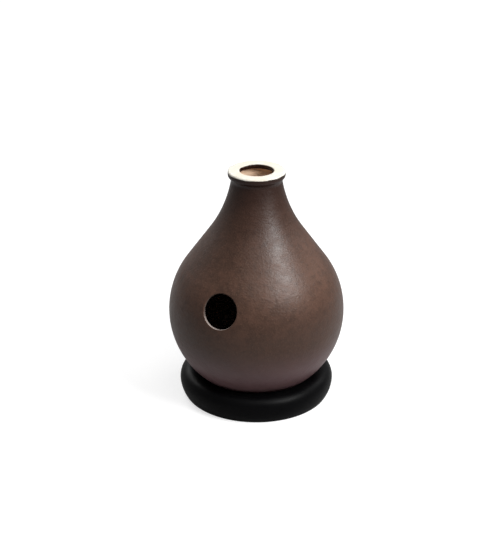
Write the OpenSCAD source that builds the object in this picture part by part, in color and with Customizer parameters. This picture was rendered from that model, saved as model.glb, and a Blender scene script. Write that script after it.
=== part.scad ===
// Udu drum: a round-bellied clay pot drum that rests loose in a black ring stand.
// The ring stands on the floor at z = 0, the pot's axis is the Z axis,
// and the side hole faces -Y.

/* [Pot] */
// Diameter of the belly, a true ball up to the shoulder
belly_d = 270; // [255:1:300]
// Height of the pot alone, from its round bottom to its mouth
pot_h = 361.7; // [345:0.1:390]
// Thickness of the fired clay wall
wall_t = 5.5; // [5:0.5:9]
// Angle above the belly's middle where the ball turns into the straight shoulder
shoulder_angle = 35.8; // [34:0.1:38]
// Radius of the hollow sweep from the shoulder up to the neck
neck_sweep_r = 193; // [170:1:210]
// Diameter of the neck at the sweep's narrowest point
neck_d = 71.6; // [68:0.1:78]

/* [Lip] */
// Outer diameter of the lip
lip_d = 86.6; // [84:0.2:92]
// Height of the lip's outer side, from its widest underside to the mouth
lip_side_h = 6; // [4:0.5:9]
// Diameter of the mouth
mouth_d = 51.2; // [42:0.2:54]
// Thickness of the lip's inner edge, around the mouth
mouth_edge_t = 7.5; // [5:0.5:9]
// Radius that rounds the lip's upper outer edge
lip_top_round = 2.4; // [1:0.1:3.5]
// Radius that rounds the lip's underside
lip_under_round = 6; // [4:0.5:7]
// Radius of the hollow between the lip's underside and the neck
lip_hollow_r = 8.6; // [6:0.2:12]
// Radius that rounds both edges of the mouth
mouth_round = 2; // [1:0.1:2.4]

/* [Side hole] */
// Diameter of the side hole
hole_d = 53.2; // [45:0.1:56]
// Angle of the hole's axis above the level of the belly's middle
hole_tilt = 20.9; // [17:0.1:21]
// Width of the eased edge on both sides of the hole
hole_ease = 1.2; // [0.5:0.1:2]

/* [Ring stand] */
// Outer diameter of the ring at its widest
ring_d = 239.6; // [230:0.2:250]
// Height of the ring
ring_h = 41.4; // [38:0.1:46]
// Smallest diameter of the ring's opening
ring_hole_d = 150; // [144:1:158]
// Height at which the ring's outside is widest
ring_bulge_z = 23.5; // [21:0.5:26]
// Radius of the bulging sides below their widest points
ring_side_r = 41; // [34:1:60]
// Depth to which the pot's seat is moulded into the ring
seat_depth = 1; // [0.6:0.1:2]
// Clearance between the pot and its seat
seat_gap = 0.3; // [0.2:0.05:0.4]

/* [Hidden] */
$fn = 180;

// Distance by which a cut runs past the face that it opens, and shapes that join overlap
past = 1;

// Ring, worked out from its own sizes
ring_r = ring_d / 2;
ring_hole_r = ring_hole_d / 2;
// The outer top is a quarter round from the widest point up to the crest
ring_out_r = ring_h - ring_bulge_z;
ring_crest_r = ring_r - ring_out_r;
// The inner top is a wider quarter round from the crest down to the opening
ring_in_r = ring_crest_r - ring_hole_r;
ring_in_z = ring_h - ring_in_r;

// Pot, seated on the ring's inner round
belly_r = belly_d / 2;
seat_reach = belly_r + ring_in_r - seat_depth;
belly_z = ring_in_z + sqrt(seat_reach ^ 2 - ring_crest_r ^ 2);
mouth_z = belly_z - belly_r + pot_h;

// Centre of the hollow sweep: its circle touches the shoulder's straight line
sweep_x = neck_d / 2 + neck_sweep_r;
sweep_rise = (belly_r + neck_sweep_r - sweep_x * cos(shoulder_angle)) / sin(shoulder_angle);
sweep_z = belly_z + sweep_rise;

lip_r = lip_d / 2;
mouth_r = mouth_d / 2;
hole_r = hole_d / 2;

// Centres of the two arcs under the lip: the rounded bead and the hollow below it
bead_at = [lip_r - lip_under_round, mouth_z - lip_side_h];
hollow_at = meet(bead_at, lip_under_round + lip_hollow_r, [sweep_x, sweep_z], neck_sweep_r - lip_hollow_r);

// Point at distance ra from a and rb from b, on the right of the line from a to b
function meet(a, ra, b, rb) =
  let (span = norm(b - a), along = (b - a) / span)
  let (reach = (span ^ 2 + ra ^ 2 - rb ^ 2) / (2 * span))
  a + reach * along + sqrt(ra ^ 2 - reach ^ 2) * [along.y, -along.x];

// Sliver between a square corner at the origin and the arc that rounds it
module corner(r)
  difference() {
    square(r);
    translate([r, r]) circle(r = r);
  }

// The part of a circle that lies in the rectangle of that size above and right of from
module circle_part(centre, r, from, size)
  intersection() {
    translate(centre) circle(r = r);
    translate(from) square(size);
  }

// Half section of the pot up to height top, moved inwards by inset
module pot_half(inset, top) {
  ball_r = belly_r - inset;
  sweep_r = neck_sweep_r + inset;
  along = [cos(shoulder_angle), sin(shoulder_angle)];
  ball_end = [0, belly_z] + ball_r * along;
  sweep_start = [sweep_x, sweep_z] - sweep_r * along;
  below = belly_z - ball_r - past;
  circle_part([0, belly_z], ball_r, [0, below], [ball_r + past, ball_end.y - below]);
  polygon([[0, belly_z], ball_end, sweep_start, [0, sweep_start.y + past]]);
  difference() {
    translate([0, sweep_start.y]) square([sweep_start.x, top - sweep_start.y]);
    translate([sweep_x, sweep_z]) circle(r = sweep_r);
  }
}

// Half section of the lip: a rounded bead outside the neck and a thinner edge inside it
module lip_half() {
  to_neck = hollow_at - [sweep_x, sweep_z];
  neck_touch = hollow_at + lip_hollow_r * to_neck / norm(to_neck);
  web_r = neck_touch.x - wall_t / 2;
  under = lip_under_round;
  difference() {
    union() {
      translate([mouth_r, mouth_z - mouth_edge_t]) square([bead_at.x - mouth_r, mouth_edge_t]);
      translate(bead_at - [past, 0]) square([under + past, lip_side_h]);
      circle_part(bead_at, under, bead_at - [under, under + past], [2 * under, under + 2 * past]);
      polygon([
        [web_r, mouth_z],
        [web_r, neck_touch.y],
        neck_touch,
        hollow_at,
        bead_at,
        [bead_at.x, mouth_z]
      ]);
    }
    translate(hollow_at) circle(r = lip_hollow_r);
    translate([lip_r, mouth_z]) mirror([1, 0]) mirror([0, 1]) corner(lip_top_round);
    translate([mouth_r, mouth_z]) mirror([0, 1]) corner(mouth_round);
    translate([mouth_r, mouth_z - mouth_edge_t]) corner(mouth_round);
  }
}

// Half section of the clay: the pot's outside and lip, without its inside
module clay_half() {
  wall_top = mouth_z - mouth_edge_t / 2;
  difference() {
    pot_half(0, wall_top);
    pot_half(wall_t, wall_top + past);
  }
  lip_half();
}

// Cut for the side hole, along its own axis from the middle of the belly
module hole_cut() {
  inner_rim = sqrt((belly_r - wall_t) ^ 2 - hole_r ^ 2);
  outer_rim = sqrt(belly_r ^ 2 - hole_r ^ 2);
  rotate([90 - hole_tilt, 0, 0]) {
    translate([0, 0, inner_rim - wall_t]) cylinder(r = hole_r, h = outer_rim - inner_rim + 3 * wall_t);
    translate([0, 0, outer_rim - hole_ease]) ease_cone();
    translate([0, 0, inner_rim + hole_ease]) mirror([0, 0, 1]) ease_cone();
  }
}

// Cone that widens the hole from its own size to its eased edge
module ease_cone()
  translate([0, 0, -past])
    cylinder(r1 = hole_r - past, r2 = hole_r + hole_ease + past, h = hole_ease + 2 * past);

// Fired clay pot with its mouth and side hole
module pot()
  color([0.33, 0.26, 0.23])
    difference() {
      rotate_extrude() clay_half();
      translate([0, 0, belly_z]) hole_cut();
    }

// Half section of the ring before the seat is moulded into it
module ring_half() {
  outer_at = [ring_crest_r, ring_bulge_z];
  inner_at = [ring_crest_r, ring_in_z];
  outer_side_at = [ring_r - ring_side_r, ring_bulge_z];
  inner_side_at = [ring_hole_r + ring_side_r, ring_in_z];
  outside = ring_out_r + 2 * past;
  inside = ring_in_r + past;
  circle_part(outer_side_at, ring_side_r, [ring_crest_r - past, 0], [outside, ring_bulge_z]);
  circle_part(outer_at, ring_out_r, outer_at - [past, past], outside);
  circle_part(inner_side_at, ring_side_r, [ring_hole_r - past, 0], [inside, ring_in_z]);
  circle_part(inner_at, ring_in_r, inner_at - [inside, past], [inside, ring_in_r + 2 * past]);
}

// Moulded ring that carries the pot and keeps its round bottom off the floor
module ring_stand()
  color([0.06, 0.06, 0.07])
    rotate_extrude()
      difference() {
        ring_half();
        translate([0, belly_z]) circle(r = belly_r + seat_gap);
      }

pot();
ring_stand();
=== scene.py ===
import math
from types import SimpleNamespace

import bpy
from mathutils import Matrix, Vector, noise


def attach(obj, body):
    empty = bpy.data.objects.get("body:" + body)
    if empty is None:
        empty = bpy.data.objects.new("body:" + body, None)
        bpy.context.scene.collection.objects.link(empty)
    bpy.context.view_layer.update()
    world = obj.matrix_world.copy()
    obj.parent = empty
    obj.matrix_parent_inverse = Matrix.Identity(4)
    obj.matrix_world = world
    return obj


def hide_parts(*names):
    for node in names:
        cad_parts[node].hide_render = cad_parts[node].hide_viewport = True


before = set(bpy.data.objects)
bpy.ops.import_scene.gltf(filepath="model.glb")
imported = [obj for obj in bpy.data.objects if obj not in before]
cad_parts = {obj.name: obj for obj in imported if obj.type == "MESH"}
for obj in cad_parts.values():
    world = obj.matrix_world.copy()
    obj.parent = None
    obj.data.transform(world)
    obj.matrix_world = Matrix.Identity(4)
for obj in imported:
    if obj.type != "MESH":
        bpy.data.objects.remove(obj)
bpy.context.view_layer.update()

# A fired clay udu drum that rests loose in a black rubber ring. As in the CAD model, the ring stands on
# z = 0, the pot's axis is the Z axis and the side hole faces -Y. Sections and meshes are worked out in
# millimetres, and everything else is in metres.

MM = 0.001
# Millimetres below which two points are one, and a point is on the axis
SAME_POINT = 1e-4
ON_AXIS = 1e-6

# ---------------------------------------------------------------- sizes in millimetres, angles in degrees

# Pot, as in the CAD source
BALL_R = 135.0
WALL = 5.5
POT_H = 361.7
SHOULDER = 35.8
SWEEP_R = 193.0
NECK_R = 35.8
LIP_R = 43.3
LIP_SIDE = 6.0
BEAD_R = 6.0
HOLLOW_R = 8.6
LIP_TOP_R = 2.4
MOUTH_R = 25.6
MOUTH_EDGE = 7.5
MOUTH_EDGE_R = 2.0
HOLE_R = 26.6
HOLE_TILT = 20.9
# The CAD source cuts the hole's edge off at a slant of 1.2, which is a little less than this round
HOLE_EDGE = 1.3

# Ring, as in the CAD source, with a rounded foot added
RING_R = 119.8
RING_H = 41.4
RING_BULGE_Z = 23.5
RING_HOLE_R = 75.0
RING_SIDE_R = 41.0
RING_FOOT_R = 1.5
SEAT_DEPTH = 1.0
SEAT_GAP = 0.3

# Ring, worked out: radii of its outer and inner top, its crest, and the height where the inner top begins
RING_OUT_R = RING_H - RING_BULGE_Z
RING_CREST = RING_R - RING_OUT_R
RING_IN_R = RING_CREST - RING_HOLE_R
RING_IN_Z = RING_H - RING_IN_R

# Pot, worked out: the ball sits on the ring's inner top, and the neck's sweep touches the straight shoulder
BALL_Z = RING_IN_Z + math.sqrt((BALL_R + RING_IN_R - SEAT_DEPTH) ** 2 - RING_CREST**2)
MOUTH_Z = BALL_Z - BALL_R + POT_H
SWEEP_X = NECK_R + SWEEP_R
SWEEP_REACH = BALL_R + SWEEP_R - SWEEP_X * math.cos(math.radians(SHOULDER))
SWEEP = (SWEEP_X, BALL_Z + SWEEP_REACH / math.sin(math.radians(SHOULDER)))
BEAD = (LIP_R - BEAD_R, MOUTH_Z - LIP_SIDE)
FLANGE_Z = MOUTH_Z - MOUTH_EDGE

# The hole's own axis, with the directions to its right and up across it
BALL_AT = Vector((0, 0, BALL_Z))
HOLE_AXIS = Vector((0, -math.cos(math.radians(HOLE_TILT)), math.sin(math.radians(HOLE_TILT))))
HOLE_SIDE = Vector((1, 0, 0))
HOLE_UP = Vector((0, math.sin(math.radians(HOLE_TILT)), math.cos(math.radians(HOLE_TILT))))

# Waves of the thrown wall, long and short, which fade out towards the axis
WAVE_DEPTH = 0.3
WAVE_MEAN = 0.35
LONG_WAVE = 70
LONG_WAVE_SHARE = 0.5
SHORT_WAVE = 28
SHORT_WAVE_SHARE = 0.18
SHORT_WAVE_SHIFT = Vector((9, 4, 2))
WAVE_FADE_R = 20

# Ripples left by fingers on the inside: their size and unevenness, and where they fade out towards the
# mouth and the side hole
RIPPLE_DEPTH = 0.3
RIPPLE_PITCH = 8.5
RIPPLE_WANDER = 1.6
WANDER_LENGTH = 40
RIPPLE_ROUGHNESS = 0.6
ROUGHNESS_LENGTH = 22
RIPPLE_FROM = 12
RIPPLE_FULL = 24
PLAIN_ROUND_HOLE = 4
RIPPLED_ROUND_HOLE = 14
FAR_FROM_HOLE = 99

# Dents of the ring's rubber, which end at its foot and leave its seat alone
DENT_DEPTH = 0.16
DENT_LENGTH = 26
DENT_FADE_Z = 6
SEAT_MARGIN = 0.5

# Mesh: columns round the axis, rows on the ball, and the block of them that the hole replaces, either side
COLUMNS = 240
BALL_ROWS = 80
HOLE_ROWS = 20
HOLE_COLUMNS = 12
# Mesh: loops from that block to the hole, round its outer edge, through its cut and round its inner edge
PATCH_LOOPS = 7
OUTER_EDGE_LOOPS = 8
CUT_LOOPS = 5
INNER_EDGE_LOOPS = 6
# Value of the "along" attribute on the hole's edges and cut, well away from the lip
HOLE_ALONG = 150

# ---------------------------------------------------------------- colours, in sRGB levels

SLIP_DARK = (64, 44, 34)
SLIP_LIGHT = (86, 61, 49)
SLIP_WARM = (94, 64, 51)
# Deep brown of the blotches, also used as the painted shade of the lower belly
SLIP_DEEP_AND_SHADE = (57, 38, 29)
SLIP_FLECK = (106, 80, 64)
# Lighter, lilac slip underneath: painted light bounced and reflected from the floor
SLIP_FLOOR_LIGHT = (102, 77, 80)
# Painted shade on the neck and under the lip
SLIP_NECK_SHADE = (34, 12, 3)
CREAM = (223, 220, 210)
CREAM_WARM = (220, 212, 196)
CREAM_SPECK = (200, 186, 164)
BARE = (246, 222, 198)
BARE_DARK = (234, 202, 172)
BARE_WARM = (238, 198, 164)
# Painted shade: darker clay deep inside the belly
INSIDE_SHADE = (74, 52, 42)
INSIDE_SHADE_DARK = (52, 38, 32)
CUT = (168, 156, 150)
CUT_DARK = (140, 128, 122)
# Painted shade on the upper half of the hole's cut
CUT_SHADE = (92, 80, 74)
RUBBER = (3, 3, 4)
RUBBER_LIGHT = (6, 6, 7)
RUBBER_DUST = (16, 16, 17)

# Heights in metres between which the clay's colour changes: painted shade on the lower belly, painted floor
# light underneath, painted shade on the neck and deep inside the belly, and painted light and shade on the
# hole's cut
BELLY_SHADE_TOP = 0.215
BELLY_SHADE_LOW = 0.145
FLOOR_LIGHT_TOP = 0.135
FLOOR_LIGHT_LOW = 0.06
NECK_LOW = 0.215
NECK_TOP = 0.37
INSIDE_SHADE_TOP = 0.30
INSIDE_SHADE_LOW = 0.26
HOLE_LOW = 0.164
HOLE_MIDDLE = 0.182

# Millimetres along the section from the mouth: where the cream land begins and ends, and the bare inside
LAND_START = (-2.4, -1.2)
LAND_END = (17.4, 16.4)
LAND_WANDER = 2.4
INSIDE_START = (-9.0, -13.0)
INSIDE_WANDER = 8.0
# Values of the "cut" attribute between which bare clay begins and ends
CUT_START = (0.8, 1.05)
CUT_END = (2.6, 2.2)
CUT_WANDER = 0.3
# How much further the pale clay reaches onto the hole's edge low down, as painted light
CUT_LIGHT_REACH = 0.5

# Least and most roughness, how far it wanders, how much rougher bare clay is, and the specular level
SLIP_ROUGH = (0.36, 0.49)
SLIP_ROUGH_WANDER = 0.1
BARE_ROUGHER = 0.28
SLIP_SHEEN = 0.34
CLAY_IOR = 1.5
RUBBER_ROUGH = (0.36, 0.46)
RUBBER_ROUGH_WANDER = 0.16
RUBBER_SHEEN = 0.07
RUBBER_IOR = 1.45

# ---------------------------------------------------------------- stage, lamps and camera

FLOOR_R = 9
FLOOR_GREY = (0.5, 0.5, 0.5, 1)
WHITE = (1, 1, 1, 1)
# Glow of the floor as the camera sees it, near the object and far from it, and where it changes
FLOOR_GLOW = 0.67
FAR_GLOW = 1.0
GLOW_NEAR = 0.3
GLOW_FAR = 2.5
# Share of that glow and of the white room that shiny surfaces reflect, and the light of the room itself
GLOSSY_SHARE = 0.1
ROOM_SHINE = 0.4
SKY = 0.04
LAMP_AIM_Z = 0.2

CAMERA_AZIMUTH = 25.8
CAMERA_ELEVATION = 24.46
CAMERA_DISTANCE = 2.167
CAMERA_LENS = 91.95
CAMERA_SENSOR = 36
CLIP_START = 0.05
CLIP_END = 60
# Point that the camera looks at: above the ball's middle, then up and to the left in the picture
AIM_ABOVE_BALL = 0.0201
AIM_UP = 0.0324
AIM_LEFT = 0.0099


# ---------------------------------------------------------------- sections

def arc(centre, r, start, end, steps):
    """Points of an arc from start to end in degrees, in that many steps, both ends kept."""
    return [
        (
            centre[0] + r * math.cos(math.radians(start + (end - start) * i / steps)),
            centre[1] + r * math.sin(math.radians(start + (end - start) * i / steps)),
        )
        for i in range(steps + 1)
    ]


def line(start, end, steps):
    """Points of a straight line, in that many steps, both ends kept."""
    return [
        (start[0] + (end[0] - start[0]) * i / steps, start[1] + (end[1] - start[1]) * i / steps)
        for i in range(steps + 1)
    ]


def joined(*parts):
    """One row of points out of parts that meet end to end."""
    points = []
    for part in parts:
        for point in part:
            if not points or math.dist(points[-1], point) > SAME_POINT:
                points.append(point)
    return points


def bearing(start, end):
    """Direction from start to end, in degrees."""
    return math.degrees(math.atan2(end[1] - start[1], end[0] - start[0]))


def meet(a, ra, b, rb):
    """Point at distance ra from a and rb from b, on the right of the line from a to b."""
    span = math.dist(a, b)
    along = ((b[0] - a[0]) / span, (b[1] - a[1]) / span)
    reach = (span**2 + ra**2 - rb**2) / (2 * span)
    off = math.sqrt(ra**2 - reach**2)
    return (a[0] + reach * along[0] + off * along[1], a[1] + reach * along[1] - off * along[0])


def corner_angle(opposite, a, b):
    """Angle between the sides a and b of a triangle, in degrees."""
    return math.degrees(math.acos((a**2 + b**2 - opposite**2) / (2 * a * b)))


def ball_point(r, elevation):
    """Point at that elevation on a circle about the ball's centre."""
    return (r * math.cos(math.radians(elevation)), BALL_Z + r * math.sin(math.radians(elevation)))


def outer_section():
    """The pot's outside, from its bottom over the belly, neck and lip to the mouth's upper edge."""
    hollow = meet(BEAD, BEAD_R + HOLLOW_R, SWEEP, SWEEP_R - HOLLOW_R)
    neck_touch = bearing(SWEEP, hollow) % 360
    bead_touch = bearing(hollow, BEAD)
    sweep = arc(SWEEP, SWEEP_R, 180 + SHOULDER, neck_touch, 44)
    return joined(
        arc((0, BALL_Z), BALL_R, -90, SHOULDER, BALL_ROWS),
        line(ball_point(BALL_R, SHOULDER), sweep[0], 18),
        sweep,
        arc(hollow, HOLLOW_R, neck_touch, bead_touch, 12),
        arc(BEAD, BEAD_R, bead_touch - 180, 0, 8),
        line((LIP_R, BEAD[1]), (LIP_R, MOUTH_Z - LIP_TOP_R), 3),
        arc((LIP_R - LIP_TOP_R, MOUTH_Z - LIP_TOP_R), LIP_TOP_R, 0, 90, 8),
        line((LIP_R - LIP_TOP_R, MOUTH_Z), (MOUTH_R + MOUTH_EDGE_R, MOUTH_Z), 13),
    )


def inner_section():
    """The pot's inside, from the mouth's upper edge down the neck and belly to its bottom."""
    upper = (MOUTH_R + MOUTH_EDGE_R, MOUTH_Z - MOUTH_EDGE_R)
    lower = (MOUTH_R + MOUTH_EDGE_R, FLANGE_Z + MOUTH_EDGE_R)
    inner_r = SWEEP_R + WALL
    inner_top = 180 + math.degrees(math.asin((SWEEP[1] - FLANGE_Z) / inner_r))
    flange_end = (SWEEP[0] + inner_r * math.cos(math.radians(inner_top)), FLANGE_Z)
    sweep = arc(SWEEP, inner_r, inner_top, 180 + SHOULDER, 30)
    return joined(
        arc(upper, MOUTH_EDGE_R, 90, 180, 8),
        line((MOUTH_R, upper[1]), (MOUTH_R, lower[1]), 3),
        arc(lower, MOUTH_EDGE_R, 180, 270, 6),
        line((lower[0], FLANGE_Z), flange_end, 2),
        sweep,
        line(sweep[-1], ball_point(BALL_R - WALL, SHOULDER), 14),
        arc((0, BALL_Z), BALL_R - WALL, SHOULDER, -90, BALL_ROWS),
    )


def ring_section():
    """The ring's closed section, anticlockwise from its foot's inner edge."""
    outer_at = (RING_CREST, RING_BULGE_Z)
    inner_at = (RING_CREST, RING_IN_Z)
    outer_side = (RING_R - RING_SIDE_R, RING_BULGE_Z)
    inner_side = (RING_HOLE_R + RING_SIDE_R, RING_IN_Z)

    # The seat, where the ball with its clearance crosses the inner top
    ball = (0.0, BALL_Z)
    seat_r = BALL_R + SEAT_GAP
    span = math.dist(inner_at, ball)
    half = corner_angle(seat_r, RING_IN_R, span)
    seat_half = corner_angle(RING_IN_R, seat_r, span)
    to_ball = bearing(inner_at, ball)
    from_ball = bearing(ball, inner_at)

    # The foot, rounded where the sides come down to the floor
    reach = RING_SIDE_R - RING_FOOT_R
    outer_drop = math.degrees(math.asin((RING_BULGE_Z - RING_FOOT_R) / reach))
    inner_drop = math.degrees(math.asin((RING_IN_Z - RING_FOOT_R) / reach))
    outer_foot = (outer_side[0] + reach * math.cos(math.radians(outer_drop)), RING_FOOT_R)
    inner_foot = (inner_side[0] - reach * math.cos(math.radians(inner_drop)), RING_FOOT_R)
    return joined(
        arc(inner_foot, RING_FOOT_R, 180 + inner_drop, 270, 5),
        line((inner_foot[0], 0), (outer_foot[0], 0), 16),
        arc(outer_foot, RING_FOOT_R, -90, -outer_drop, 5),
        arc(outer_side, RING_SIDE_R, -outer_drop, 0, 16),
        arc(outer_at, RING_OUT_R, 0, 90, 22),
        arc(inner_at, RING_IN_R, 90, to_ball - half, 10),
        arc(ball, seat_r, from_ball + seat_half, from_ball - seat_half, 8),
        arc(inner_at, RING_IN_R, to_ball + half, 180, 10),
        arc(inner_side, RING_SIDE_R, 180, 180 + inner_drop, 14),
    )[:-1]


# ---------------------------------------------------------------- meshes

def new_object(name, points, faces, attributes):
    """A smooth object from points in millimetres, with a float attribute for each name given."""
    mesh = bpy.data.meshes.new(name)
    mesh.from_pydata([Vector(p) * MM for p in points], [], faces)
    mesh.validate()
    for key, values in attributes.items():
        mesh.attributes.new(key, "FLOAT", "POINT").data.foreach_set("value", values)
    mesh.shade_smooth()
    obj = bpy.data.objects.new(name, mesh)
    bpy.context.scene.collection.objects.link(obj)
    return obj


def spun(r, z, column):
    """Section point turned about the axis to its column, where column 0 faces -Y."""
    angle = math.radians(-90 + 360 * column / COLUMNS)
    return Vector((r * math.cos(angle), r * math.sin(angle), z))


def smooth_step(value, low, high):
    """0 up to low, 1 from high on, and an eased slope between."""
    t = min(max((value - low) / (high - low), 0), 1)
    return t * t * (3 - 2 * t)


class Shell:
    """The pot's points and faces. Each point has the distance along the section from the mouth, negative
    inside, and the place in the hole's cut: 0 to 1 round its outer edge, 1 to 2 through the wall, 2 to 3
    round its inner edge."""

    def __init__(self):
        self.points = []
        self.along = []
        self.cut = []
        self.faces = []

    def add(self, point, along, cut=0):
        self.points.append(Vector(point))
        self.along.append(along)
        self.cut.append(cut)
        return len(self.points) - 1

    def join_loops(self, loops):
        """Faces between neighbouring closed loops of points."""
        for a, b in zip(loops, loops[1:]):
            for n in range(len(a)):
                m = (n + 1) % len(a)
                self.faces.append((a[n], a[m], b[m], b[n]))

    def made(self, name):
        """The object, without the points that no face uses."""
        used = sorted({v for face in self.faces for v in face})
        place = {v: n for n, v in enumerate(used)}
        return new_object(
            name,
            [self.points[v] for v in used],
            [tuple(place[v] for v in face) for face in self.faces],
            {"along": [self.along[v] for v in used], "cut": [self.cut[v] for v in used]},
        )


def distances_from_mouth(outer, section):
    """Distance of each section point from the end of the outer section, negative beyond it."""
    run = [0.0]
    for a, b in zip(section, section[1:]):
        run.append(run[-1] + math.dist(a, b))
    mouth = run[len(outer) - 1]
    return [mouth - length for length in run]


def turn_pot(shell, section, along):
    """Rows of points on the turned wall, and the faces between them outside the hole's two blocks."""
    last = len(section) - 1
    rows = []
    for i, (r, z) in enumerate(section):
        if i in (0, last):
            rows.append([shell.add((0, 0, z), along[i])] * COLUMNS)
        else:
            rows.append([shell.add(spun(r, z, j), along[i]) for j in range(COLUMNS)])
    for i in range(last):
        outer_block = BALL_ROWS - HOLE_ROWS <= i < BALL_ROWS
        inner_block = last - BALL_ROWS <= i < last - BALL_ROWS + HOLE_ROWS
        for j in range(COLUMNS):
            if (outer_block or inner_block) and (j < HOLE_COLUMNS or j >= COLUMNS - HOLE_COLUMNS):
                continue
            k = (j + 1) % COLUMNS
            if i == 0:
                shell.faces.append((rows[0][0], rows[1][k], rows[1][j]))
            elif i == last - 1:
                shell.faces.append((rows[i][j], rows[i][k], rows[last][0]))
            else:
                shell.faces.append((rows[i][j], rows[i][k], rows[i + 1][k], rows[i + 1][j]))
    return rows


def block_edge(rows, low, top):
    """Points round the hole's block between the two rows, anticlockwise as seen from outside."""
    step = 1 if top > low else -1
    span = range(-HOLE_COLUMNS, HOLE_COLUMNS)
    edge = [rows[low][j % COLUMNS] for j in span]
    edge += [rows[i][HOLE_COLUMNS] for i in range(low, top, step)]
    edge += [rows[top][-j % COLUMNS] for j in span]
    edge += [rows[i][-HOLE_COLUMNS % COLUMNS] for i in range(top, low, -step)]
    return edge


def off_axis(turn):
    """Direction away from the hole's axis, at that turn about it."""
    return HOLE_SIDE * math.cos(turn) + HOLE_UP * math.sin(turn)


def round_loop(shell, turns, out, height, cut):
    """A loop round the hole's axis, at that distance from it and height along it."""
    return [
        shell.add(BALL_AT + HOLE_AXIS * height + off_axis(turn) * out, HOLE_ALONG, cut) for turn in turns
    ]


def patch_loops(shell, turns, edge, r, touch, cut):
    """Loops on a ball between the block's edge and the circle at the angle touch from the hole's axis."""
    loops = []
    for step in range(1, PATCH_LOOPS):
        loop = []
        for v, turn in zip(edge, turns):
            swing = math.acos((shell.points[v] - BALL_AT).normalized().dot(HOLE_AXIS))
            swing += (touch - swing) * step / PATCH_LOOPS
            away = HOLE_AXIS * math.cos(swing) + off_axis(turn) * math.sin(swing)
            loop.append(shell.add(BALL_AT + away * r, shell.along[v], cut))
        loops.append(loop)
    return loops


def cut_hole(shell, rows):
    """The side hole: patches from both blocks to its rounded edges, and the cut between them."""
    outer_edge = block_edge(rows, BALL_ROWS - HOLE_ROWS, BALL_ROWS)
    inner_top = len(rows) - 1 - BALL_ROWS
    inner_edge = block_edge(rows, inner_top + HOLE_ROWS, inner_top)
    turns = []
    for v in outer_edge:
        away = shell.points[v] - BALL_AT
        turns.append(math.atan2(away.dot(HOLE_UP), away.dot(HOLE_SIDE)))

    # Centres of the two rounded edges, and the angles at which they touch the ball's outside and inside
    out = HOLE_R + HOLE_EDGE
    outer_h = math.sqrt((BALL_R - HOLE_EDGE) ** 2 - out**2)
    inner_h = math.sqrt((BALL_R - WALL + HOLE_EDGE) ** 2 - out**2)
    outer_touch = math.atan2(out, outer_h)
    inner_touch = math.atan2(out, inner_h)
    outer_round = arc((out, outer_h), HOLE_EDGE, 90 - math.degrees(outer_touch), 180, OUTER_EDGE_LOOPS)
    through = line((HOLE_R, outer_h), (HOLE_R, inner_h), CUT_LOOPS)
    inner_round = arc((out, inner_h), HOLE_EDGE, 180, 270 - math.degrees(inner_touch), INNER_EDGE_LOOPS)

    loops = [outer_edge]
    loops += patch_loops(shell, turns, outer_edge, BALL_R, outer_touch, 0)
    for n, (r, height) in enumerate(outer_round):
        loops.append(round_loop(shell, turns, r, height, n / OUTER_EDGE_LOOPS))
    for n, (r, height) in enumerate(through[1:-1], 1):
        loops.append(round_loop(shell, turns, r, height, 1 + n / CUT_LOOPS))
    for n, (r, height) in enumerate(inner_round):
        loops.append(round_loop(shell, turns, r, height, 2 + n / INNER_EDGE_LOOPS))
    loops += reversed(patch_loops(shell, turns, inner_edge, BALL_R - WALL, inner_touch, 3))
    loops.append(inner_edge)
    shell.join_loops(loops)


def ripple(point, along):
    """Depth of the finger marks at a point of the inside."""
    wander = RIPPLE_WANDER * noise.noise(point / WANDER_LENGTH)
    wave = math.sin((point.z + wander) * 2 * math.pi / RIPPLE_PITCH)
    wave += RIPPLE_ROUGHNESS * noise.noise(point / ROUGHNESS_LENGTH)
    off = point - BALL_AT
    ahead = off.dot(HOLE_AXIS)
    away = (off - HOLE_AXIS * ahead).length if ahead > 0 else FAR_FROM_HOLE
    from_hole = smooth_step(away, HOLE_R + PLAIN_ROUND_HOLE, HOLE_R + RIPPLED_ROUND_HOLE)
    return RIPPLE_DEPTH * (1 + wave) * from_hole * smooth_step(-along, RIPPLE_FROM, RIPPLE_FULL)


def throw_marks(shell):
    """Moves the wall inwards in slow waves, and presses the finger marks into its inside."""
    for v, point in enumerate(shell.points):
        r = math.hypot(point.x, point.y)
        if r < ON_AXIS:
            continue
        wave = WAVE_MEAN + LONG_WAVE_SHARE * noise.noise(point / LONG_WAVE)
        wave += SHORT_WAVE_SHARE * noise.noise(point / SHORT_WAVE + SHORT_WAVE_SHIFT)
        shift = -WAVE_DEPTH * min(max(wave, 0), 1)
        if shell.along[v] < -RIPPLE_FROM:
            shift += ripple(point, shell.along[v])
        outward = Vector((point.x / r, point.y / r, 0))
        shell.points[v] = point + outward * shift * r / (r + WAVE_FADE_R)


def make_pot():
    """The clay shell, turned from its section, with the side hole and the marks of throwing."""
    outer = outer_section()
    section = joined(outer, inner_section())
    shell = Shell()
    rows = turn_pot(shell, section, distances_from_mouth(outer, section))
    cut_hole(shell, rows)
    throw_marks(shell)
    return shell.made("clay_pot")


def dented(point, r, z):
    """The point pushed a little into the rubber, apart from the seat."""
    if math.dist((r, z), (0, BALL_Z)) < BALL_R + SEAT_GAP + SEAT_MARGIN:
        return point
    dent = DENT_DEPTH * min(z / DENT_FADE_Z, 1) * (1 + noise.noise(point / DENT_LENGTH))
    outward = Vector((point.x, point.y, 0)).normalized()
    return point + outward * (dent if r < RING_CREST else -dent)


def make_ring():
    """The rubber ring, turned from its section."""
    section = ring_section()
    points = [dented(spun(r, z, j), r, z) for r, z in section for j in range(COLUMNS)]
    faces = []
    for i in range(len(section)):
        n = (i + 1) % len(section)
        for j in range(COLUMNS):
            k = (j + 1) % COLUMNS
            faces.append((i * COLUMNS + j, i * COLUMNS + k, n * COLUMNS + k, n * COLUMNS + j))
    return new_object("black_ring", points, faces, {})


# ---------------------------------------------------------------- materials

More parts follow.
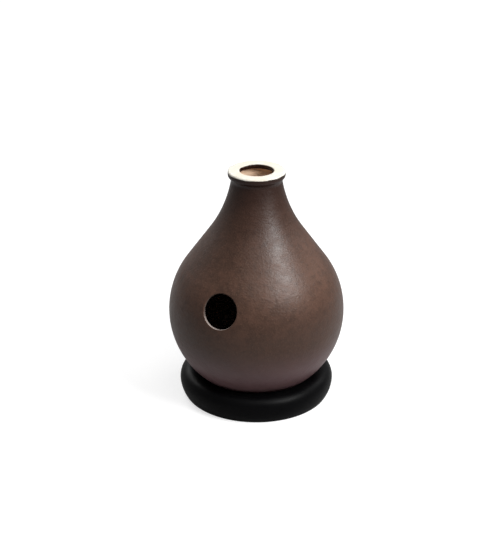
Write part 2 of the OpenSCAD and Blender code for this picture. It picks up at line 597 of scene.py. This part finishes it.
def srgb(*levels):
    """Linear colour from sRGB levels of 0 to 255."""
    linear = []
    for level in levels:
        c = level / 255
        linear.append(c / 12.92 if c <= 0.04045 else ((c + 0.055) / 1.055) ** 2.4)
    return (*linear, 1.0)


class Tree:
    """Adds nodes to one node tree, with sockets set or linked by name or number."""

    def __init__(self, data):
        data.use_nodes = True
        self.tree = data.node_tree
        self.tree.nodes.clear()

    def add(self, kind, sockets=None, **settings):
        made = self.tree.nodes.new(kind)
        for key, value in settings.items():
            setattr(made, key, value)
        for key, value in (sockets or {}).items():
            if isinstance(value, bpy.types.NodeSocket):
                self.tree.links.new(value, made.inputs[key])
            else:
                made.inputs[key].default_value = value
        return made

    def noise(self, where, scale, detail, rough, twist=0.0):
        return self.add(
            "ShaderNodeTexNoise",
            {"Vector": where, "Scale": scale, "Detail": detail, "Roughness": rough, "Distortion": twist},
        ).outputs["Fac"]

    def math(self, operation, a, b=0.0, c=0.0, clamp=False):
        return self.add("ShaderNodeMath", {0: a, 1: b, 2: c}, operation=operation, use_clamp=clamp).outputs[0]

    def span(self, value, low, high, to_low=0.0, to_high=1.0, smooth=True):
        """Maps value from low..high to to_low..to_high, clamped."""
        return self.add(
            "ShaderNodeMapRange",
            {"Value": value, "From Min": low, "From Max": high, "To Min": to_low, "To Max": to_high},
            interpolation_type="SMOOTHSTEP" if smooth else "LINEAR",
        ).outputs["Result"]

    def wander(self, value, texture, width):
        """Value moved up and down by a texture, over that width."""
        return self.math("ADD", value, self.math("MULTIPLY_ADD", texture, width, -width / 2))

    def mix(self, share, a, b):
        """Mixes two colours, each given as sRGB levels or as a socket."""
        made = self.add("ShaderNodeMix", data_type="RGBA")
        for slot, value in ((0, share), (6, a), (7, b)):
            if isinstance(value, bpy.types.NodeSocket):
                self.tree.links.new(value, made.inputs[slot])
            else:
                made.inputs[slot].default_value = srgb(*value)
        return made.outputs[2]

    def bump(self, *layers):
        """Bumps on top of each other, each given as its height, strength and depth in metres."""
        normal = None
        for height, strength, depth in layers:
            sockets = {"Height": height, "Strength": strength, "Distance": depth}
            if normal is not None:
                sockets["Normal"] = normal
            normal = self.add("ShaderNodeBump", sockets).outputs["Normal"]
        return normal

    def finish(self, surface):
        self.add("ShaderNodeOutputMaterial", {"Surface": surface})


def clay_textures(t):
    """What the clay's colours, sheen and bumps are made of, from broad clouds to fine grain."""
    where = t.add("ShaderNodeTexCoord").outputs["Object"]
    flat = t.add("ShaderNodeMapping", {"Vector": where, "Scale": (1.0, 1.0, 9.0)}).outputs["Vector"]
    leather = t.add(
        "ShaderNodeTexVoronoi", {"Vector": where, "Scale": 330.0, "Randomness": 1.0}, feature="SMOOTH_F1"
    )
    return SimpleNamespace(
        height=t.add("ShaderNodeSeparateXYZ", {0: where}).outputs["Z"],
        along=t.add("ShaderNodeAttribute", attribute_name="along").outputs["Fac"],
        cut=t.add("ShaderNodeAttribute", attribute_name="cut").outputs["Fac"],
        clouds=t.noise(where, scale=11.0, detail=4.0, rough=0.55, twist=0.5),
        streaks=t.noise(flat, scale=16.0, detail=3.0, rough=0.6),
        wobble=t.noise(where, scale=60.0, detail=2.0, rough=0.5),
        mottle=t.noise(where, scale=75.0, detail=4.0, rough=0.62, twist=0.3),
        blotch=t.noise(where, scale=105.0, detail=3.0, rough=0.55, twist=0.6),
        leather=leather.outputs["Distance"],
        grain=t.noise(where, scale=420.0, detail=3.0, rough=0.65),
        fine=t.noise(where, scale=1300.0, detail=2.0, rough=0.5),
    )


def slip_colour(t, clay):
    """Mottled brown slip, with painted shade on the lower belly and the neck, and painted floor light
    underneath.
    """
    slip = t.mix(t.span(clay.clouds, 0.32, 0.68), SLIP_DARK, SLIP_LIGHT)
    slip = t.mix(t.span(clay.mottle, 0.35, 0.7, to_high=0.5), slip, SLIP_WARM)
    slip = t.mix(t.span(clay.streaks, 0.35, 0.7, to_high=0.22), slip, SLIP_DARK)
    slip = t.mix(t.span(clay.blotch, 0.45, 0.7, to_high=0.5), slip, SLIP_DEEP_AND_SHADE)
    slip = t.mix(t.span(clay.grain, 0.5, 0.72, to_high=0.45), slip, SLIP_FLECK)
    # Painted shade: darker from the shoulder down over the lower belly
    slip = t.mix(t.span(clay.height, BELLY_SHADE_TOP, BELLY_SHADE_LOW, to_high=0.5), slip, SLIP_DEEP_AND_SHADE)
    # Painted floor light: lighter and lilac towards the bottom
    slip = t.mix(t.span(clay.height, FLOOR_LIGHT_TOP, FLOOR_LIGHT_LOW, to_high=0.85), slip, SLIP_FLOOR_LIGHT)
    # Painted shade: the neck and the lip's bead get darker towards the top
    return t.mix(t.span(clay.height, NECK_LOW, NECK_TOP), slip, SLIP_NECK_SHADE)


def land_colour(t, clay):
    """Cream clay of the lip's land, with small specks."""
    cream = t.mix(t.span(clay.mottle, 0.3, 0.7), CREAM, CREAM_WARM)
    return t.mix(t.span(clay.grain, 0.6, 0.8, to_high=0.35), cream, CREAM_SPECK)


def inside_colour(t, clay):
    """Bare clay of the inside, pale in the neck and darker in the belly as painted shade."""
    bare = t.mix(t.span(clay.streaks, 0.3, 0.7), BARE, BARE_DARK)
    bare = t.mix(t.span(clay.mottle, 0.45, 0.75, to_high=0.5), bare, BARE_WARM)
    # Painted shade deep inside the belly
    shaded = t.mix(t.span(clay.clouds, 0.3, 0.7), INSIDE_SHADE, INSIDE_SHADE_DARK)
    return t.mix(t.span(clay.height, INSIDE_SHADE_TOP, INSIDE_SHADE_LOW), bare, shaded)


def cut_colour(t, clay):
    """Bare clay of the hole's cut, darkened from its middle up as painted shade."""
    cut = t.mix(t.span(clay.mottle, 0.3, 0.7), CUT, CUT_DARK)
    # Painted shade from the cut's middle up
    return t.mix(t.span(clay.height, HOLE_LOW, HOLE_MIDDLE), cut, CUT_SHADE)


def clay_material():
    """Brown slip outside, and bare clay on the lip's land, inside and in the side hole's cut."""
    material = bpy.data.materials.new("slip_clay")
    t = Tree(material)
    clay = clay_textures(t)

    # Where the clay is bare: on the land, inside, and in the hole's cut, whose pale clay reaches wider low
    # down as painted light
    place = t.wander(clay.along, clay.wobble, LAND_WANDER)
    on_land = t.math("MULTIPLY", t.span(place, *LAND_START), t.span(place, *LAND_END))
    inside = t.span(t.wander(clay.along, clay.clouds, INSIDE_WANDER), *INSIDE_START)
    cut_place = t.wander(clay.cut, clay.grain, CUT_WANDER)
    # Painted light: the pale clay reaches further onto the hole's edge low down
    lit_place = t.math("ADD", cut_place, t.span(clay.height, HOLE_LOW, HOLE_MIDDLE, CUT_LIGHT_REACH, 0.0))
    in_cut = t.math("MULTIPLY", t.span(lit_place, *CUT_START), t.span(cut_place, *CUT_END))
    bare = t.math("MAXIMUM", t.math("MAXIMUM", inside, on_land), in_cut)

    colour = t.mix(inside, slip_colour(t, clay), inside_colour(t, clay))
    colour = t.mix(on_land, colour, land_colour(t, clay))
    colour = t.mix(in_cut, colour, cut_colour(t, clay))

    rough = t.span(clay.mottle, 0.25, 0.75, *SLIP_ROUGH, smooth=False)
    rough = t.wander(rough, clay.clouds, SLIP_ROUGH_WANDER)
    rough = t.math("MULTIPLY_ADD", bare, BARE_ROUGHER, rough, clamp=True)

    normal = t.bump(
        (clay.leather, 0.4, 0.0004),
        (clay.grain, 0.45, 0.00022),
        (clay.blotch, 0.5, 0.0004),
        (clay.mottle, 0.55, 0.0007),
        (clay.fine, 0.35, 0.00008),
        (clay.streaks, 0.35, 0.0006),
    )
    shader = t.add(
        "ShaderNodeBsdfPrincipled",
        {
            "Base Color": colour,
            "Roughness": rough,
            "Normal": normal,
            "IOR": CLAY_IOR,
            "Specular IOR Level": SLIP_SHEEN,
        },
    )
    t.finish(shader.outputs["BSDF"])
    return material


def rubber_material():
    """Matt black rubber with a little dust."""
    material = bpy.data.materials.new("black_rubber")
    t = Tree(material)
    where = t.add("ShaderNodeTexCoord").outputs["Object"]
    clouds = t.noise(where, scale=22.0, detail=3.0, rough=0.55, twist=0.3)
    dust = t.noise(where, scale=110.0, detail=5.0, rough=0.65)
    grain = t.noise(where, scale=600.0, detail=3.0, rough=0.6)
    colour = t.mix(t.span(clouds, 0.3, 0.7), RUBBER, RUBBER_LIGHT)
    colour = t.mix(t.span(dust, 0.58, 0.85, to_high=0.3), colour, RUBBER_DUST)
    rough = t.span(clouds, 0.3, 0.7, *RUBBER_ROUGH, smooth=False)
    rough = t.wander(rough, dust, RUBBER_ROUGH_WANDER)
    normal = t.bump((grain, 0.45, 0.00016), (dust, 0.25, 0.0002))
    shader = t.add(
        "ShaderNodeBsdfPrincipled",
        {
            "Base Color": colour,
            "Roughness": rough,
            "Normal": normal,
            "IOR": RUBBER_IOR,
            "Specular IOR Level": RUBBER_SHEEN,
        },
    )
    t.finish(shader.outputs["BSDF"])
    return material


# ---------------------------------------------------------------- stage, light and camera

def white_to_camera(t, glossy_share):
    """1 for rays from the camera or through glass, and a share of it for reflected rays."""
    seen = t.add("ShaderNodeLightPath").outputs
    mask = t.math("MULTIPLY_ADD", seen["Is Glossy Ray"], glossy_share, seen["Is Camera Ray"])
    return t.math("MAXIMUM", mask, seen["Is Transmission Ray"])


def floor_material():
    """A grey floor that takes shadows, with a glow that makes it white to the camera."""
    material = bpy.data.materials.new("pale_floor")
    t = Tree(material)
    where = t.add("ShaderNodeTexCoord").outputs["Object"]
    far = t.add("ShaderNodeVectorMath", {0: where}, operation="LENGTH").outputs["Value"]
    glow = t.span(far, GLOW_NEAR, GLOW_FAR, FLOOR_GLOW, FAR_GLOW)
    seen_glow = t.math("MULTIPLY", white_to_camera(t, GLOSSY_SHARE), glow)
    plain = t.add("ShaderNodeBsdfDiffuse", {"Color": FLOOR_GREY, "Roughness": 0.0})
    light = t.add("ShaderNodeEmission", {"Color": WHITE, "Strength": seen_glow})
    both = t.add("ShaderNodeAddShader", {0: plain.outputs[0], 1: light.outputs[0]})
    t.finish(both.outputs[0])
    return material


def make_floor():
    """A wide round floor that the ring stands on."""
    mesh = bpy.data.meshes.new("pale_floor")
    turns = [math.radians(a) for a in range(0, 360, 5)]
    rim = [(FLOOR_R * math.cos(turn), FLOOR_R * math.sin(turn), 0) for turn in turns]
    mesh.from_pydata(rim, [], [tuple(range(len(rim)))])
    mesh.materials.append(floor_material())
    obj = bpy.data.objects.new("pale_floor", mesh)
    bpy.context.scene.collection.objects.link(obj)


def make_world():
    """A room that is white to the camera and gives the object only a little light."""
    world = bpy.data.worlds.new("studio")
    bpy.context.scene.world = world
    t = Tree(world)
    strength = t.math("MAXIMUM", white_to_camera(t, ROOM_SHINE), SKY)
    white = t.add("ShaderNodeBackground", {"Color": WHITE, "Strength": strength})
    t.add("ShaderNodeOutputWorld", {"Surface": white.outputs[0]})


def towards(azimuth, elevation):
    """Direction from the object, with azimuth from -Y towards +X."""
    a, e = math.radians(azimuth), math.radians(elevation)
    return Vector((math.sin(a) * math.cos(e), -math.cos(a) * math.cos(e), math.sin(e)))


def softbox(name, azimuth, elevation, distance, size, power):
    """A square lamp that faces the object's middle."""
    light = bpy.data.lights.new(name, "AREA")
    light.shape = "SQUARE"
    light.size = size
    light.energy = power
    obj = bpy.data.objects.new(name, light)
    back = towards(azimuth, elevation)
    obj.location = Vector((0, 0, LAMP_AIM_Z)) + back * distance
    obj.rotation_euler = back.to_track_quat("Z", "Y").to_euler()
    bpy.context.scene.collection.objects.link(obj)


def make_camera():
    """The photograph's view."""
    azimuth = math.radians(CAMERA_AZIMUTH)
    back = towards(CAMERA_AZIMUTH, CAMERA_ELEVATION)
    right = Vector((math.cos(azimuth), math.sin(azimuth), 0))
    up = back.cross(right)
    aim = Vector((0, 0, BALL_Z * MM + AIM_ABOVE_BALL)) + up * AIM_UP - right * AIM_LEFT
    camera = bpy.data.cameras.new("camera")
    camera.sensor_fit = "AUTO"
    camera.sensor_width = CAMERA_SENSOR
    camera.lens = CAMERA_LENS
    camera.clip_start = CLIP_START
    camera.clip_end = CLIP_END
    obj = bpy.data.objects.new("camera", camera)
    turn = Matrix((right, up, back)).transposed().to_4x4()
    obj.matrix_world = Matrix.Translation(aim + back * CAMERA_DISTANCE) @ turn
    bpy.context.scene.collection.objects.link(obj)
    bpy.context.scene.camera = obj


make_camera()
make_world()
make_floor()
softbox("key", azimuth=75, elevation=40, distance=1.5, size=0.5, power=17.3)
softbox("key_side", azimuth=95, elevation=42, distance=1.5, size=0.4, power=6)
softbox("top", azimuth=26, elevation=88, distance=1.8, size=1.4, power=9.5)
softbox("front", azimuth=30, elevation=55, distance=1.8, size=0.8, power=3.8)
softbox("back_left", azimuth=-120, elevation=35, distance=1.8, size=1.0, power=15)
softbox("back_right", azimuth=150, elevation=35, distance=1.8, size=1.0, power=6.5)

pot = make_pot()
pot.data.materials.append(clay_material())
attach(pot, "drum")
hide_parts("pot")

ring = make_ring()
ring.data.materials.append(rubber_material())
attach(ring, "ring")
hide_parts("ring_stand")

bpy.context.scene.view_settings.view_transform = "Standard"
